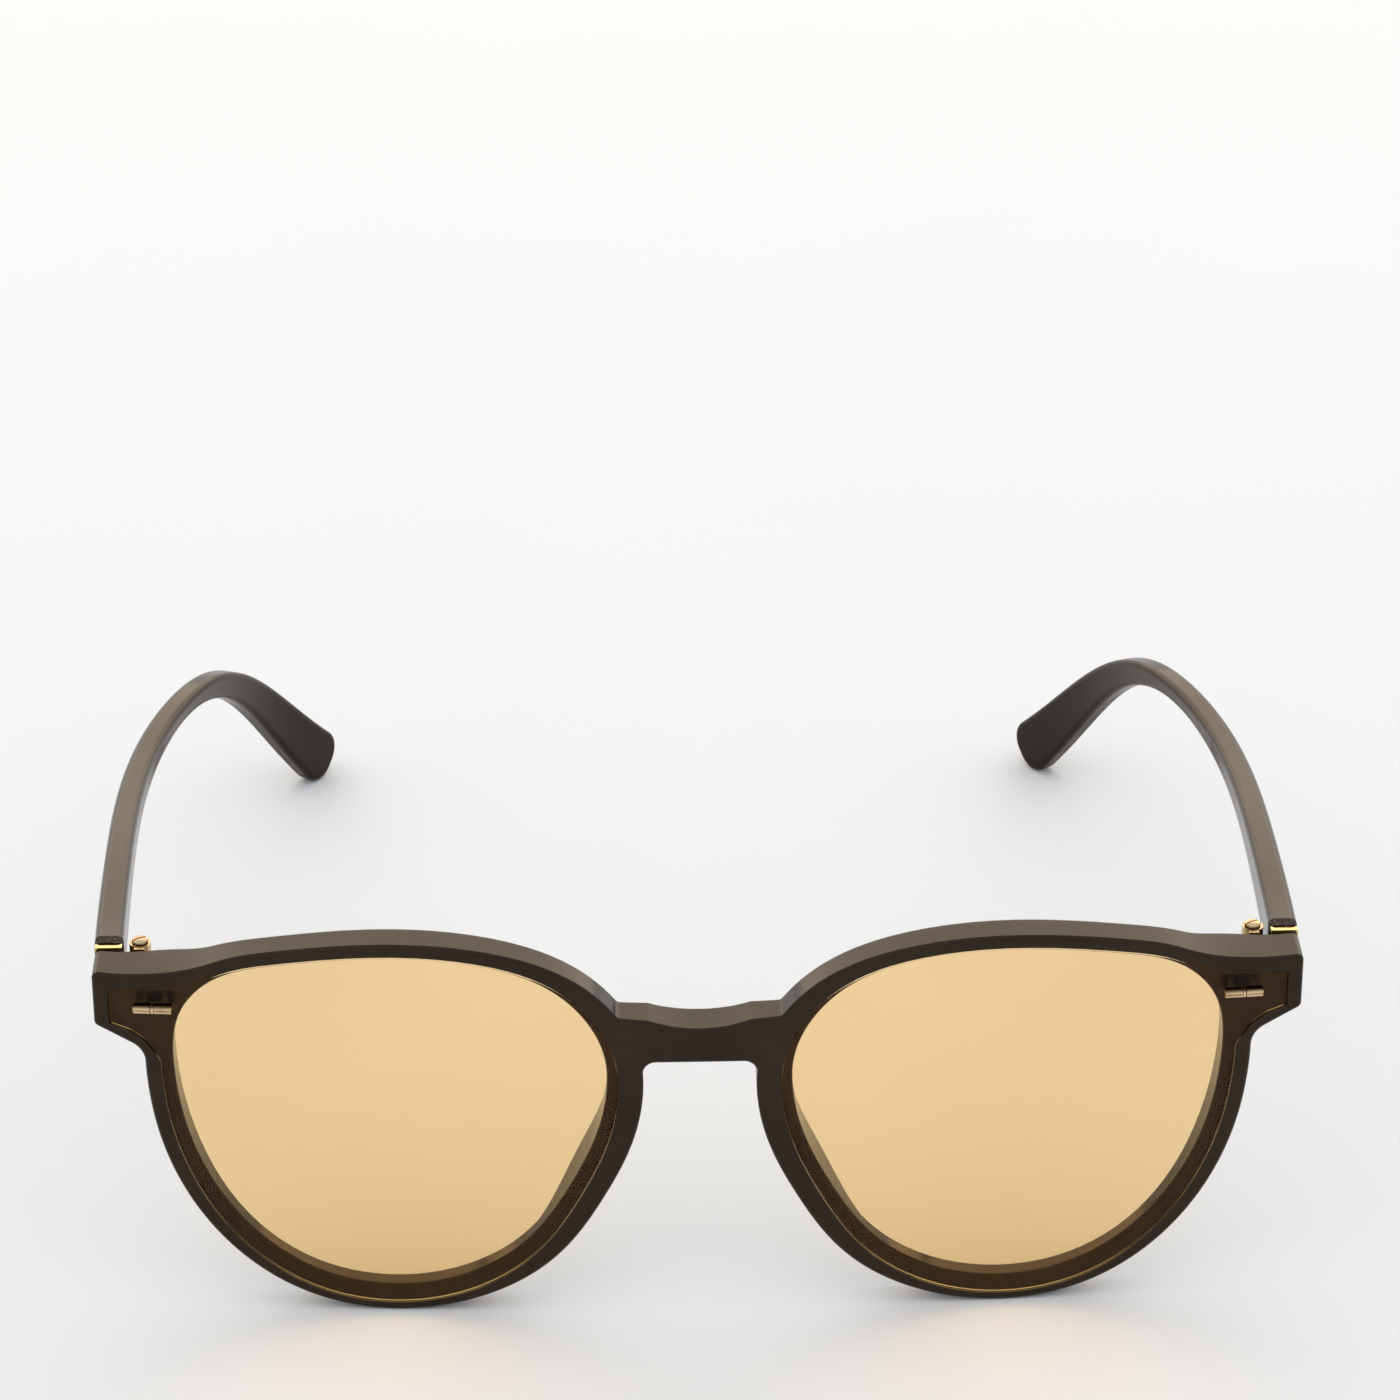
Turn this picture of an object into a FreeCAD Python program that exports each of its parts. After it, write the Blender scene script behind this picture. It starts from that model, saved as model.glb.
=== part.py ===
"""Full-rim sunglasses with flat tinted lenses, bar rivets and screwed metal hinges.

Millimetres. +Z up, the front faces -Y, the temples run back along +Y, and the glasses
stand as they do on a table: on the bottoms of both rims and on both temple tips.
X = 0 is the plane of symmetry, "right" is the +X side, and Z = 0 is the table.
One side is drawn, at +X, and the other is its mirror image.
"""
import FreeCAD
import Part
import math
import os

V = FreeCAD.Vector
UP = V(0, 0, 1)

# ---- front ---------------------------------------------------------------------------
aperture_width = 52.1          # clear opening of one rim
aperture_height = 46.2
aperture_gap = 22.4            # between the two openings, across the nose
endpiece_reach = 9.25          # from the opening to the end of the front
endpiece_height = 7.2
endpiece_drop = 1.5            # its top corner below the top of the opening
notch_drop = 4.7               # the notch under the endpiece, below the endpiece's lower corner
notch_root = 1.0               # end of the notch's edge inside the rim, beyond the opening
knee = 2.6                     # where the endpiece reaches its full depth, beyond the opening
front_curve = 800.0            # radius of the front face, seen from above
rim_nasal = 4.4                # face of the rim, seen from the front
rim_temporal = 3.3
rim_top = 2.9
rim_bottom = 2.5
bridge_height = 4.6
bridge_drop = 8.8              # top of the bridge below the top of the openings
bridge_sag = 1.2               # saddle of the bridge's top edge
saddle_width = 12.3            # of that saddle
saddle_slope = 0.107           # of the bridge's top edge between the saddle and the rims
bridge_depth = 5.4             # thickness front to back on the centre line
rim_depth = 4.4                # the same at the rims
endpiece_depth = 6.2           # the same at the endpieces, at the hinge
front_edge_round = 0.5
back_edge_round = 0.4
corner_round = 0.8             # endpiece corners, seen from the front
notch_round = 3.0              # between the endpiece and the rim below it
bridge_round = 1.6             # between the bridge and the nasal rim below it
shoulder_round = 1.0           # where the bridge's saddle meets the rims above it
brow_round = 22.0               # where the endpiece's top edge leaves the rim

# ---- lens, and the seat it lies on ---------------------------------------------------
lens_thickness = 1.8
lens_setback = 0.2             # lens face behind the front face of the rim
lens_clearance = 0.08          # all round the lens, in its recess
seat_clearance = 0.06          # behind the lens, on its seat
lens_chamfer = 0.18            # round the front face of the lens
seat_round = 0.5               # inner edge of the seat that the lens lies on
ledge = 1.3                    # width of that seat, which the lens laps
wing_margin = 1.85             # frame left outside the end of the wing
wing_height = 4.6              # at the end of the wing
wing_drop = 3.8                # top of the wing below the top of the opening
wing_round = 0.6

# ---- nose pads moulded on the front --------------------------------------------------
pad_depth = 3.6                # how far a pad stands behind the rim
pad_width = 3.0                # at its root
pad_edge = 1.5                 # at its back edge
pad_top = 0.62                 # where a pad begins, as a share of the opening's height
pad_reach = 0.17               # where it ends, as a share of the opening's width and height
pad_trim = 0.3                 # how far its blank reaches into the opening, to be cut flush
pad_overlap = 1.0              # how deep it starts inside the rim
pad_power = 1.4                # how fast it rises from its ends
pad_end_depth = 0.1            # what is left of its depth, root and edge at its ends
pad_end_width = 0.4
pad_end_edge = 0.25

# ---- bar rivet -----------------------------------------------------------------------
trim_inset = 7.05              # rivet centre in from the end of the front
trim_drop = 6.3                # and below the top of the opening
trim_bar_length = 2.05         # each of the two bars
trim_bar_height = 1.2
trim_collar_width = 0.5
trim_collar_height = 1.5
trim_proud = 0.5
bar_round = 0.2
collar_proud = 0.1             # beyond the bars
collar_round = 0.12
trim_groove = 0.16
trim_post_radius = 0.5
trim_post_spacing = 2.6
post_wall = 1.2                # left between a post's hole and the hinge plate
post_clearance = 0.04
post_bottom = 0.2              # space left below a post in its hole

# ---- hinge ---------------------------------------------------------------------------
hinge_inset = 5.35             # hinge axis in from the end of the front
hinge_drop = 0.15              # top of the barrels below the top of the endpiece
barrel_radius = 1.3
barrel_stand = 0.45            # between the barrels and the back face of the endpiece
outer_knuckle = 1.7            # height of each barrel on the front leaf
middle_knuckle = 2.0           # height of the barrel on the temple leaf
knuckle_gap = 0.08
plate_width = 5.0
plate_thickness = 0.8
plate_shift = 1.2              # middle of the plate inward from the hinge axis
plate_margin = 1.1             # endpiece above and below the plate
web_width = 1.2
screw_radius = 0.65
screw_head_radius = 1.0
screw_head_height = 0.6
screw_end_gap = 0.2            # end of the shank above the bottom of the barrels
head_chamfer = 0.15
slot_width = 0.3
slot_depth = 0.3
bore_clearance = 0.04
leaf_gap = 0.12                # open temple leaf to the back of the endpiece
leaf_thickness = 0.9
arm_setback = 0.05             # front of the leaf's arm behind the front of its plate
leaf_margin = 0.15             # temple beyond its leaf, all round the end
pocket_clearance = 0.04
temple_proud = 0.1             # temple outside the end of the front

# ---- temple --------------------------------------------------------------------------
temple_rise = 0.2              # top of the temple above the top of the endpiece
temple_straight = 94.5         # leaf to the start of the bend
temple_slope = 8.6             # fall of the straight part, degrees
tip_slope = 49.0               # fall of the tip, degrees
bend_radius = 41.0
temple_bow = 1.7               # how far the middle bows outward
bow_end = 0.75                 # where that bow ends, as a share of the temple
tip_hook = 19.2                # how far the end of the tip turns inward
hook_start = 0.38              # where that turn begins, as a share of the temple
hook_power = 2.0               # how much of it comes late
hook_lean = 0.12               # how far that turn lowers the corner of the tip
temple_thickness = 3.5
tip_thickness = 3.1
temple_height = 6.0            # at the hinge
waist_height = 2.7             # at the start of the bend
tip_height = 7.9
height_power = 1.2             # how late the height grows from the waist to the tip
temple_round = 0.8
tip_round = 3.2
core_thickness = 1.0
core_height = 1.5

# ---- values that follow --------------------------------------------------------------
nasal_x = aperture_gap / 2
temporal_x = nasal_x + aperture_width
front_x = temporal_x + endpiece_reach
top_z = rim_bottom + aperture_height
lens_back = lens_setback + lens_thickness
seat_depth = lens_back + seat_clearance
hinge_x = front_x - hinge_inset
hinge_height = 2 * outer_knuckle + middle_knuckle + 2 * knuckle_gap
endpiece_top = top_z - endpiece_drop
endpiece_bottom = endpiece_top - endpiece_height
barrel_top = endpiece_top - hinge_drop
bridge_top = top_z - bridge_drop
saddle_end = bridge_top + bridge_sag
post_depth = endpiece_depth - plate_thickness - lens_setback - post_wall


def sag(x):
    """How far the curved front face lies behind its middle, at x."""
    return front_curve - math.sqrt(front_curve ** 2 - x * x)


endpiece_back = sag(hinge_x) + endpiece_depth
hinge_y = endpiece_back + barrel_stand + barrel_radius
leaf_front = endpiece_back + leaf_gap
temple_front = leaf_front + leaf_thickness

# the opening as shares of its half width and half height, from the nasal side round
# through the bottom, the temporal side and the top
PANTO = [(-1.0, 0.30), (-0.962, -0.01), (-0.82, -0.38), (-0.585, -0.75),
         (-0.305, -0.94), (0.0, -1.0), (0.347, -0.922), (0.658, -0.671),
         (0.896, -0.242), (1.0, 0.32), (0.958, 0.667), (0.804, 0.857),
         (0.51, 0.952), (0.067, 1.0), (-0.39, 0.965), (-0.731, 0.823), (-0.935, 0.571)]


# ---- helpers -------------------------------------------------------------------------
def spline(points, closed=False):
    curve = Part.BSplineCurve()
    curve.interpolate([V(*p) for p in points], PeriodicFlag=closed)
    return curve


def face(edges):
    return Part.Face(Part.Wire(Part.__sortEdges__(edges)))


def polygon(points):
    """Face in the XZ plane from corner points (x, z)."""
    corners = [V(x, 0, z) for x, z in points]
    return Part.Face(Part.makePolygon(corners + corners[:1]))


def prism(flat, low=-3.0, high=16.0):
    """Solid from a face in the XZ plane, from y = low to y = high."""
    lowered = flat.copy()
    lowered.translate(V(0, low, 0))
    return lowered.extrude(V(0, high - low, 0))


def box(x, y, z):
    """Box from three (low, high) pairs."""
    size = [high - low for low, high in (x, y, z)]
    return Part.makeBox(*size, V(x[0], y[0], z[0]))


def mirrored(shape):
    return shape.mirror(V(0, 0, 0), V(1, 0, 0))


def layer(front, back):
    """Everything between two depths behind the curved front face."""
    reach = front_x + 5
    rows = []
    for depth in (front, back):
        radius = front_curve - depth
        ends = [V(x, front_curve - math.sqrt(radius ** 2 - x * x), 0) for x in (-reach, reach)]
        rows.append(Part.Arc(ends[0], V(0, depth, 0), ends[1]).toShape())
    sides = [Part.makeLine(rows[0].valueAt(rows[0].FirstParameter), rows[1].valueAt(rows[1].FirstParameter)),
             Part.makeLine(rows[0].valueAt(rows[0].LastParameter), rows[1].valueAt(rows[1].LastParameter))]
    slab = face(rows + sides)
    slab.translate(V(0, 0, -5))
    return slab.extrude(V(0, 0, top_z + 15))


def y_edges(shape, spots):
    """For each spot (x, z), the edge along Y that is nearest to it."""
    upright = []
    for edge in shape.Edges:
        start, end = edge.Vertexes[0].Point, edge.Vertexes[-1].Point
        if abs(start.x - end.x) + abs(start.z - end.z) < 1e-4 and abs(start.y - end.y) > 1:
            upright.append(edge)
    return [min(upright, key=lambda e: math.hypot(e.Vertexes[0].Point.x - x, e.Vertexes[0].Point.z - z))
            for x, z in spots]


def edge_points(edge):
    first, last = edge.FirstParameter, edge.LastParameter
    return [edge.valueAt(first + (last - first) * i / 4) for i in range(5)]


def depth_at(point):
    """How far a point lies behind the curved front face, towards the curve's centre."""
    return front_curve - math.hypot(point.x, front_curve - point.y)


# ---- outlines, seen from the front ---------------------------------------------------
opening = spline([(nasal_x + aperture_width / 2 * (1 + p), 0, rim_bottom + aperture_height / 2 * (1 + q))
                  for p, q in PANTO], closed=True)
centre = V(nasal_x + aperture_width / 2, 0, rim_bottom + aperture_height / 2)


def outward(parameter):
    """Point on the edge of the opening, and its outward direction."""
    point = opening.value(parameter)
    along = opening.tangent(parameter)[0]
    side = V(along.z, 0, -along.x)
    if side.dot(point - centre) < 0:
        side = side * -1
    return point, side


def rim_width(side):
    across = rim_nasal if side.x < 0 else rim_temporal
    upright = rim_bottom if side.z < 0 else rim_top
    return across * side.x ** 2 + upright * side.z ** 2


def around(width, count=40):
    """Closed face whose edge lies outside the opening by width, a number or a function."""
    first, last = opening.FirstParameter, opening.LastParameter
    points = []
    for i in range(count):
        point, side = outward(first + (last - first) * i / count)
        points.append(tuple(point + side * (width(side) if callable(width) else width)))
    return face([spline(points, closed=True).toShape()])


def on_opening(shares):
    """Points given from the opening's temporal side and top, as shares of its width and height."""
    return [(temporal_x + across * aperture_width, 0, top_z + up * aperture_height) for across, up in shares]


BROW = [(-0.144, 0.008), (-0.044, -0.021)]                 # top edge, from the rim to the endpiece
BROW_END = (3.2, -1.7)                                     # its last point before the endpiece's corner
BROW_CORNER = [(-0.071, -0.014)]                           # where it leaves the rim
WING = [(-0.154, -0.087), (-0.088, -0.031), (-0.029, -0.063)]   # top edge of the lens wing, outward
WING_FOOT = [(3.3, -2.2), (1.9, -4.2), (-0.5, -9.0)]       # its lower edge, inward, from the wing's bottom
WING_CORNER = (-2.4, -0.9)                                 # cut off the wing's lower outer corner

# the back of the front, seen from above: share of the opening's width, depth beyond that of the rims
BACK = [(-0.038, 0.2), (0.23, 0.0), (0.693, 0.0), (0.923, 0.8)]


def endpiece_outline():
    end = (temporal_x + BROW_END[0], 0, top_z + BROW_END[1])
    top = on_opening(BROW) + [end, (front_x, 0, endpiece_top)]
    corners = [V(*top[-1]), V(front_x, 0, endpiece_bottom),
               V(temporal_x + notch_root, 0, endpiece_bottom - notch_drop), V(*top[0])]
    return face([spline(top).toShape()] + [Part.makeLine(a, b) for a, b in zip(corners, corners[1:])])


def nasal_edge(height):
    """X of the opening's nasal edge at a height."""
    level = Part.makeLine(V(0, 0, height), V(centre.x, 0, height))
    return opening.toShape().distToShape(level)[1][0][0].x


def bridge_outline():
    half = saddle_width / 2
    root = nasal_edge(saddle_end) - rim_nasal / 2
    rise = saddle_slope * (root - half)
    saddle = Part.Arc(V(-half, 0, saddle_end), V(0, 0, bridge_top), V(half, 0, saddle_end)).toShape()
    bottom = bridge_top - bridge_height
    corners = [V(half, 0, saddle_end), V(root, 0, saddle_end + rise), V(root, 0, bottom),
               V(-root, 0, bottom), V(-root, 0, saddle_end + rise), V(-half, 0, saddle_end)]
    return face([saddle] + [Part.makeLine(a, b) for a, b in zip(corners, corners[1:])])


def wing_corners():
    """Corners of the lens wing, clockwise from the lens's top."""
    end = front_x - wing_margin
    top = top_z - wing_drop
    bottom = top - wing_height
    upper = [(x, z) for x, _, z in on_opening(WING)]
    cut = (end + WING_CORNER[0], bottom + WING_CORNER[1])
    lower = [(temporal_x + x, bottom + z) for x, z in WING_FOOT]
    return upper + [(end, top), (end, bottom), cut] + lower


def wing_outline(grow=0.0):
    flat = polygon(wing_corners())
    return flat.makeOffset2D(grow, join=2) if grow else flat


# ---- front ---------------------------------------------------------------------------
def front_blank():
    """The front's outline as a thick block, with its corners rounded."""
    half = prism(around(rim_width)).fuse(prism(endpiece_outline()))
    whole = half.fuse([mirrored(half), prism(bridge_outline())]).removeSplitter().Solids[0]
    rounds = [(corner_round, (front_x, endpiece_top)), (corner_round, (front_x, endpiece_bottom)),
              (notch_round, (temporal_x + rim_temporal, endpiece_bottom - notch_drop)),
              (bridge_round, (nasal_x - rim_nasal, bridge_top - bridge_height)),
              (shoulder_round, (nasal_edge(saddle_end) - rim_nasal, saddle_end)),
              (shoulder_round, (saddle_width / 2, saddle_end)),
              (brow_round, on_opening(BROW_CORNER)[0][::2])]
    for radius, (x, z) in rounds:
        whole = whole.makeFillet(radius, y_edges(whole, [(x, z), (-x, z)])).Solids[0]
    return whole


def front_plan():
    """Thickness of the front, seen from above."""
    start = temporal_x + knee
    points = [(0, bridge_depth, 0)]
    for across, extra in BACK:
        x = nasal_x + across * aperture_width
        points.append((x, rim_depth + extra + sag(x), 0))
    curve = Part.BSplineCurve()
    curve.interpolate([V(*p) for p in points + [(start, endpiece_back, 0)]],
                      InitialTangent=V(1, 0, 0), FinalTangent=V(1, 0, 0))
    reach = front_x + 1
    corners = [V(start, endpiece_back, 0), V(reach, endpiece_back, 0), V(reach, sag(reach), 0)]
    half = [curve.toShape()] + [Part.makeLine(a, b) for a, b in zip(corners, corners[1:])]
    front = Part.Arc(V(-reach, sag(reach), 0), V(0, 0, 0), V(reach, sag(reach), 0)).toShape()
    flat = face(half + [mirrored(edge) for edge in half] + [front])
    flat.translate(V(0, 0, -5))
    return flat.extrude(UP * (top_z + 15))


def nose_pad():
    """One pad: the wall of the opening goes on straight back, and the nose side slopes to a thin edge."""
    first, last = opening.FirstParameter, opening.LastParameter
    top = V(nasal_x, 0, rim_bottom + pad_top * aperture_height)
    bottom = V(nasal_x + pad_reach * aperture_width, 0, rim_bottom + pad_reach * aperture_height)
    begin, finish = opening.parameter(top), opening.parameter(bottom)
    if finish < begin:
        finish += last - first
    sections = []
    for i in range(9):
        share = i / 8
        full = math.sin(math.pi * share) ** pad_power
        point, side = outward(begin + (finish - begin) * share)
        low, high = rim_depth - pad_overlap, rim_depth + pad_end_depth + pad_depth * full
        root, edge = pad_end_width + pad_width * full, pad_end_edge + pad_edge * full
        widths = [(low, -pad_trim), (high, -pad_trim), (high, edge), (low, root)]
        corners = [point + side * width + V(0, y, 0) for y, width in widths]
        sections.append(Part.makePolygon(corners + corners[:1]))
    return Part.makeLoft(sections, True, False)


def lens_prism(grow):
    """The lens outline, with its wing, as a block."""
    block = prism(around(ledge + grow)).fuse(prism(wing_outline(grow))).removeSplitter()
    return block.makeFillet(wing_round, y_edges(block, wing_corners()[3:7]))


def lens():
    solid = lens_prism(0.0).common(layer(lens_setback, lens_back)).Solids[0]
    rim = [e for e in solid.Edges if all(abs(depth_at(p) - lens_setback) < 0.02 for p in edge_points(e))]
    solid = solid.makeFillet(lens_chamfer, rim).Solids[0]
    return solid.cut(trim_posts(trim_post_radius + post_clearance, 2 * lens_thickness)).Solids[0]


# ---- bar rivet -----------------------------------------------------------------------
def place_on_front(shape, depth):
    """Moves a shape drawn at the origin, facing -Y, to the rivet's place, square to the front face."""
    x = front_x - trim_inset
    lean = math.asin(x / front_curve)
    shape.rotate(V(0, 0, 0), UP, math.degrees(lean))
    radius = front_curve - depth
    shape.translate(V(radius * math.sin(lean), front_curve - radius * math.cos(lean), top_z - trim_drop))
    return shape


def post_pair(radius, begin, length):
    posts = [Part.makeCylinder(radius, length, V(side * trim_post_spacing / 2, begin, 0), V(0, 1, 0))
             for side in (-1, 1)]
    return posts[0].fuse(posts[1])


def trim_posts(radius, length):
    return place_on_front(post_pair(radius, -1.0, length + 1.0), lens_setback)


def trim():
    """Two short grooved bars with a collar between them, on two posts through the lens wing."""
    half = trim_bar_height / 2
    collar = trim_collar_width / 2
    bars = []
    for side in (-1, 1):
        low, high = sorted((side * collar, side * (collar + trim_bar_length)))
        bar = box((low, high), (-trim_proud, 0), (-half, half))
        bar = bar.makeFillet(bar_round, [e for e in bar.Edges if e.BoundBox.YMax < -trim_proud + 0.01])
        groove = box((low - 1, high + 1), (-trim_proud - 1, -trim_proud + trim_groove),
                     (-trim_groove / 2, trim_groove / 2))
        bars.append(bar.cut(groove))
    tall = trim_collar_height / 2
    front = -trim_proud - collar_proud
    ring = box((-collar, collar), (front, 0), (-tall, tall))
    ring = ring.makeFillet(collar_round, [e for e in ring.Edges if e.BoundBox.YMax < front + 0.01])
    posts = post_pair(trim_post_radius, -0.1, post_depth + 0.1)
    return place_on_front(ring.fuse(bars + [posts]), lens_setback)


# ---- hinge ---------------------------------------------------------------------------
def barrel(low, high, radius):
    return Part.makeCylinder(radius, high - low, V(hinge_x, hinge_y, low))


def knuckles():
    """Heights of the three barrels, from the bottom up, as (low, high)."""
    low = barrel_top - hinge_height
    first = (low, low + outer_knuckle)
    middle = (first[1] + knuckle_gap, first[1] + knuckle_gap + middle_knuckle)
    return first, middle, (middle[1] + knuckle_gap, barrel_top)


def hinge_plate(grow=0.0):
    half = plate_width / 2 + grow
    middle = hinge_x - plate_shift
    return box((middle - half, middle + half), (endpiece_back - plate_thickness - grow, endpiece_back),
               (endpiece_bottom + plate_margin - grow, endpiece_top - plate_margin + grow))


def hinge_front():
    """Plate let into the back of the endpiece, with the upper and lower barrels."""
    solid = hinge_plate()
    first, _, last = knuckles()
    for low, high in (first, last):
        web = box((hinge_x - web_width / 2, hinge_x + web_width / 2), (endpiece_back, hinge_y), (low, high))
        solid = solid.fuse([web, barrel(low, high, barrel_radius)])
    return solid.removeSplitter().cut(barrel(0, top_z, screw_radius + bore_clearance))


def hinge_screw():
    low = knuckles()[0][0]
    shank = barrel(low + screw_end_gap, barrel_top, screw_radius)
    head = barrel(barrel_top, barrel_top + screw_head_height, screw_head_radius)
    head = head.makeChamfer(head_chamfer, [e for e in head.Edges if e.BoundBox.ZMin > barrel_top + 0.1
                                   and e.BoundBox.XLength > screw_head_radius])
    top = barrel_top + screw_head_height
    slot = box((hinge_x - 2, hinge_x + 2), (hinge_y - slot_width / 2, hinge_y + slot_width / 2),
               (top - slot_depth, top + 1))
    return shank.fuse(head).removeSplitter().cut(slot)


def temple_end():
    """Corners of the temple's front end: outer x, inner x, bottom z, top z."""
    outer = front_x + temple_proud
    top = endpiece_top + temple_rise
    return outer, outer - temple_thickness, top - temple_height, top


def hinge_temple():
    """End plate across the temple's front, an arm to the middle barrel, and the barrel."""
    outer, inner, bottom, top = temple_end()
    low, high = knuckles()[1]
    plate = box((inner + leaf_margin, outer - leaf_margin), (leaf_front, temple_front),
                (bottom + leaf_margin, top - leaf_margin))
    arm = box((hinge_x, inner + 1), (leaf_front + arm_setback, temple_front), (low, high))
    solid = plate.fuse([arm, barrel(low, high, barrel_radius)]).removeSplitter()
    return solid.cut(barrel(0, top_z, screw_radius + bore_clearance))


# ---- temple --------------------------------------------------------------------------
def tip_run():
    """Length of the straight tip that brings its rounded lower corner down to the table."""
    slope, steep = math.radians(temple_slope), math.radians(tip_slope)
    fall = temple_straight * math.sin(slope) + bend_radius * (math.cos(slope) - math.cos(steep))
    lift = tip_round * (math.cos(steep) + math.sin(steep) - 1) - hook_lean
    return (temple_end()[3] - fall - tip_height * math.cos(steep) + lift) / math.sin(steep)


def temple_stations():
    """Centre, along, height and thickness at stations from the hinge end to the tip."""
    slope, steep = math.radians(temple_slope), math.radians(tip_slope)
    outer, inner, bottom, top = temple_end()
    bend_run = bend_radius * (steep - slope)
    straight = [temple_straight * share for share in (0.0, 0.22, 0.5, 0.78, 1.0)]
    bend = [temple_straight + bend_run * share for share in (0.5, 1.0)]
    tip = [temple_straight + bend_run + tip_run() * share for share in (0.5, 1.0)]
    length = tip[-1]
    rows = []
    for s in straight + bend + tip:
        y, fall = s * math.cos(slope), s * math.sin(slope)
        angle = slope
        if s > temple_straight:
            turned = min((s - temple_straight) / bend_radius, steep - slope)
            angle = slope + turned
            beyond = max(0.0, s - temple_straight - bend_run)
            y = temple_straight * math.cos(slope) + bend_radius * (math.sin(angle) - math.sin(slope))
            fall = temple_straight * math.sin(slope) + bend_radius * (math.cos(slope) - math.cos(angle))
            y += beyond * math.cos(steep)
            fall += beyond * math.sin(steep)
        share = min(s / temple_straight, 1.0)
        height = temple_height + (waist_height - temple_height) * math.sin(share * math.pi / 2)
        if s > temple_straight:
            late = (s - temple_straight) / (length - temple_straight)
            height += (tip_height - waist_height) * late ** height_power
        thick = temple_thickness + (tip_thickness - temple_thickness) * s / length
        rows.append((s / length, y, fall, angle, height, thick))
    return rows


def temple_path():
    """Centre line points with their section sizes."""
    outer, inner, bottom, top = temple_end()
    rows = temple_stations()
    points = []
    for share, y, fall, angle, height, thick in rows:
        bow = temple_bow * math.sin(math.pi * min(share / bow_end, 1.0))
        hook = tip_hook * max(0.0, (share - hook_start) / (1 - hook_start)) ** hook_power
        x = (outer + inner) / 2 + bow - hook
        z = top - fall - height / 2 * math.cos(angle)
        points.append((V(x, temple_front + y, z), height, thick))
    return points


def lofted(sizes, stations):
    """Solid through upright rectangles square to the path. sizes are (height, thickness) pairs."""
    wires = []
    path = spline([tuple(p) for p, _, _ in stations])
    for i, ((point, _, _), (height, thick)) in enumerate(zip(stations, sizes)):
        along = V(0, 1, 0) if i == 0 else path.tangent(path.parameter(point))[0]
        side = along.cross(UP).normalize()
        upward = side.cross(along).normalize()
        corners = [point + side * (across * thick / 2) + upward * (up * height / 2)
                   for across, up in ((-1, -1), (1, -1), (1, 1), (-1, 1))]
        wires.append(Part.makePolygon(corners + corners[:1]))
    return Part.makeLoft(wires, True, False)


def temple_core():
    """Flat wire that stiffens the temple."""
    stations = temple_path()[:7]
    return lofted([(core_height, core_thickness)] * len(stations), stations)


def temple():
    stations = temple_path()
    solid = lofted([(height, thick) for _, height, thick in stations], stations)
    end = stations[-1][0]
    short = sorted(solid.Edges, key=lambda e: (e.CenterOfMass - end).Length)[:4]
    short = sorted(short, key=lambda e: e.Length)[:2]
    solid = solid.makeFillet(tip_round, short)
    long_edges = [e for e in solid.Edges if e.BoundBox.YMax > temple_front + 0.5]
    solid = solid.makeFillet(temple_round, long_edges)
    return solid.cut(temple_core())


def front_frame():
    """Rims, bridge, endpieces and nose pads, moulded in one piece."""
    solid = front_blank().common(front_plan()).Solids[0]
    solid = solid.makeFillet(front_edge_round, [e for e in solid.Edges
                                                if all(abs(p.y - sag(p.x)) < 0.01 for p in edge_points(e))])
    behind = [e for e in solid.Edges if all(p.y - sag(p.x) > rim_depth - 0.3 for p in edge_points(e))
              and e.BoundBox.XLength + e.BoundBox.ZLength > 0.5 and not upright(e)]
    solid = solid.makeFillet(back_edge_round, behind)
    pads = nose_pad()
    solid = solid.fuse([pads, mirrored(pads)])
    cuts = [prism(face([opening.toShape()])), lens_prism(lens_clearance).common(layer(-4, seat_depth))]
    solid = solid.cut(cuts + [mirrored(cut) for cut in cuts]).removeSplitter().Solids[0]
    seat = [e for e in solid.Edges if all(on_seat_edge(p) for p in edge_points(e))]
    solid = solid.makeFillet(seat_round, seat).Solids[0]
    posts = trim_posts(trim_post_radius + post_clearance, post_depth + post_bottom)
    cuts = [posts, hinge_plate(pocket_clearance)]
    return solid.cut(cuts + [mirrored(cut) for cut in cuts]).Solids[0]


def on_seat_edge(point):
    """Whether a point is on the inner edge of the seat, where the wall of the opening begins."""
    flat = V(abs(point.x), 0, point.z)
    nearest = opening.value(opening.parameter(flat))
    return abs(depth_at(point) - seat_depth) < 0.02 and (nearest - flat).Length < 0.02


def upright(edge):
    """The edges where the endpiece's flat back begins, which stay sharp."""
    return edge.BoundBox.XLength < 0.01 and edge.BoundBox.YLength < 0.01


PIECES = {"lens": lens, "trim": trim, "hinge_front": hinge_front, "hinge_screw": hinge_screw,
          "hinge_temple": hinge_temple, "temple_core": temple_core, "temple": temple}


def main():
    os.makedirs("parts", exist_ok=True)
    middle = V(0, -temple().optimalBoundingBox(False).YMax / 2, 0)
    print("front face stands at y =", round(middle.y, 3))
    front_frame().translated(middle).exportStep("parts/front_frame.step")
    for name, make in PIECES.items():
        solid = make().translated(middle)
        solid.exportStep(f"parts/{name}_right.step")
        mirrored(solid).exportStep(f"parts/{name}_left.step")


if __name__ == "__main__":
    main()
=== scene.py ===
"""Sunglasses: the finishes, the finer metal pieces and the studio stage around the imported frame."""
import math

import bmesh
import bpy
from mathutils import Matrix, Vector


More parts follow.
